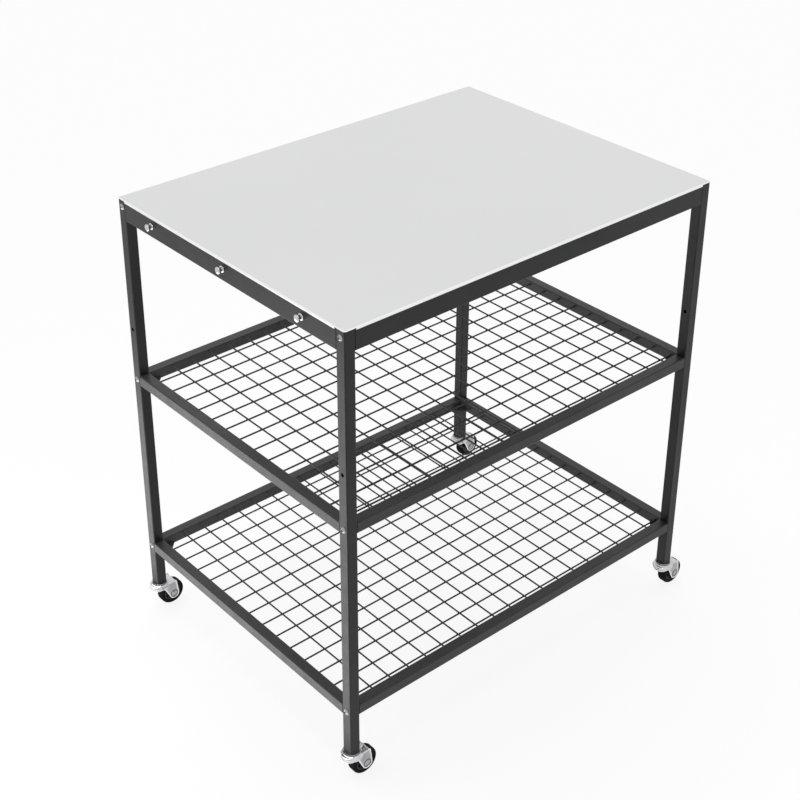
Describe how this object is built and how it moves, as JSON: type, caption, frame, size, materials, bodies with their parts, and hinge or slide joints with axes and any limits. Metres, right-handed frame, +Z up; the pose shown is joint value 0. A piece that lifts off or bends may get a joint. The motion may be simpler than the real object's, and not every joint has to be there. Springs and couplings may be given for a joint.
{
  "type": "outdoor cooking table",
  "caption": "Wheeled outdoor cooking table: flat stainless worktop on a black square-tube frame, with open wire mesh shelves, side pegs and swivel casters.",
  "frame": {"origin": "on the floor, under the centre of the tube frame", "axes": "+X along the table's long side, away from the side with the hanging pegs; +Y from front to back; +Z up"},
  "size_m": [0.8475, 0.619, 0.8622],
  "materials": {
    "stainless_top": "fine brushed stainless sheet",
    "black_powder_coat": "satin black powder coat on steel tube",
    "black_wire": "satin black powder coat on steel wire",
    "bolt_steel": "plain stainless bolts",
    "chrome": "bright chrome plate",
    "zinc_hardware": "bright zinc plate",
    "bearing_steel": "bright steel",
    "black_plastic": "moulded black nylon",
    "hub_plastic": "moulded black nylon",
    "tyre_rubber": "matte black rubber"
  },
  "bodies": {
    "table": {"bottom_mesh_cross_wires": "black_wire", "bottom_mesh_long_wires": "black_wire", "bottom_rail_back": "black_powder_coat", "bottom_rail_front": "black_powder_coat", "bottom_rail_left": "black_powder_coat", "bottom_rail_right": "black_powder_coat", "caster_stem_back_left": "chrome", "caster_stem_back_right": "chrome", "caster_stem_front_left": "chrome", "caster_stem_front_right": "chrome", "corner_gussets": "black_powder_coat", "frame_bolts": "bolt_steel", "hook_rivet_nuts": "zinc_hardware", "leg_back_left": "black_powder_coat", "leg_back_right": "black_powder_coat", "leg_foot_inserts": "black_plastic", "leg_front_left": "black_powder_coat", "leg_front_right": "black_powder_coat", "mid_mesh_cross_wires": "black_wire", "mid_mesh_long_wires": "black_wire", "mid_rail_back": "black_powder_coat", "mid_rail_front": "black_powder_coat", "mid_rail_left": "black_powder_coat", "mid_rail_right": "black_powder_coat", "panel_clip_screws": "zinc_hardware", "panel_clips": "zinc_hardware", "peg_hook_back": "chrome", "peg_hook_front": "chrome", "peg_hook_middle": "chrome", "shelf_rail_end_nuts": "zinc_hardware", "top_cross_brace": "black_powder_coat", "top_panel": "stainless_top", "top_rail_back": "black_powder_coat", "top_rail_end_nuts": "zinc_hardware", "top_rail_front": "black_powder_coat", "top_rail_left": "black_powder_coat", "top_rail_right": "black_powder_coat"},
    "swivel_fork_front_left": {"caster_fork_front_left": "chrome", "caster_axle_front_left": "bolt_steel", "caster_bearing_front_left": "bearing_steel"},
    "wheel_front_left": {"wheel_hub_front_left": "hub_plastic", "wheel_tyre_front_left": "tyre_rubber"},
    "swivel_fork_front_right": {"caster_fork_front_right": "chrome", "caster_axle_front_right": "bolt_steel", "caster_bearing_front_right": "bearing_steel"},
    "wheel_front_right": {"wheel_hub_front_right": "hub_plastic", "wheel_tyre_front_right": "tyre_rubber"},
    "swivel_fork_back_left": {"caster_fork_back_left": "chrome", "caster_axle_back_left": "bolt_steel", "caster_bearing_back_left": "bearing_steel"},
    "wheel_back_left": {"wheel_hub_back_left": "hub_plastic", "wheel_tyre_back_left": "tyre_rubber"},
    "swivel_fork_back_right": {"caster_fork_back_right": "chrome", "caster_axle_back_right": "bolt_steel", "caster_bearing_back_right": "bearing_steel"},
    "wheel_back_right": {"wheel_hub_back_right": "hub_plastic", "wheel_tyre_back_right": "tyre_rubber"}
  },
  "joints": [
    {"name": "swivel_front_left", "type": "hinge", "parent": "table", "child": "swivel_fork_front_left", "pos_m": [-0.39, -0.29, 0.0545], "axis": [0, 0, 1], "continuous": true},
    {"name": "roll_front_left", "type": "hinge", "parent": "swivel_fork_front_left", "child": "wheel_front_left", "pos_m": [-0.368, -0.29, 0.025], "axis": [0, 1, 0], "continuous": true},
    {"name": "swivel_front_right", "type": "hinge", "parent": "table", "child": "swivel_fork_front_right", "pos_m": [0.39, -0.29, 0.0545], "axis": [0, 0, 1], "continuous": true},
    {"name": "roll_front_right", "type": "hinge", "parent": "swivel_fork_front_right", "child": "wheel_front_right", "pos_m": [0.412, -0.29, 0.025], "axis": [0, 1, 0], "continuous": true},
    {"name": "swivel_back_left", "type": "hinge", "parent": "table", "child": "swivel_fork_back_left", "pos_m": [-0.39, 0.29, 0.0545], "axis": [0, 0, 1], "continuous": true},
    {"name": "roll_back_left", "type": "hinge", "parent": "swivel_fork_back_left", "child": "wheel_back_left", "pos_m": [-0.368, 0.29, 0.025], "axis": [0, 1, 0], "continuous": true},
    {"name": "swivel_back_right", "type": "hinge", "parent": "table", "child": "swivel_fork_back_right", "pos_m": [0.39, 0.29, 0.0545], "axis": [0, 0, 1], "continuous": true},
    {"name": "roll_back_right", "type": "hinge", "parent": "swivel_fork_back_right", "child": "wheel_back_right", "pos_m": [0.412, 0.29, 0.025], "axis": [0, 1, 0], "continuous": true}
  ]
}
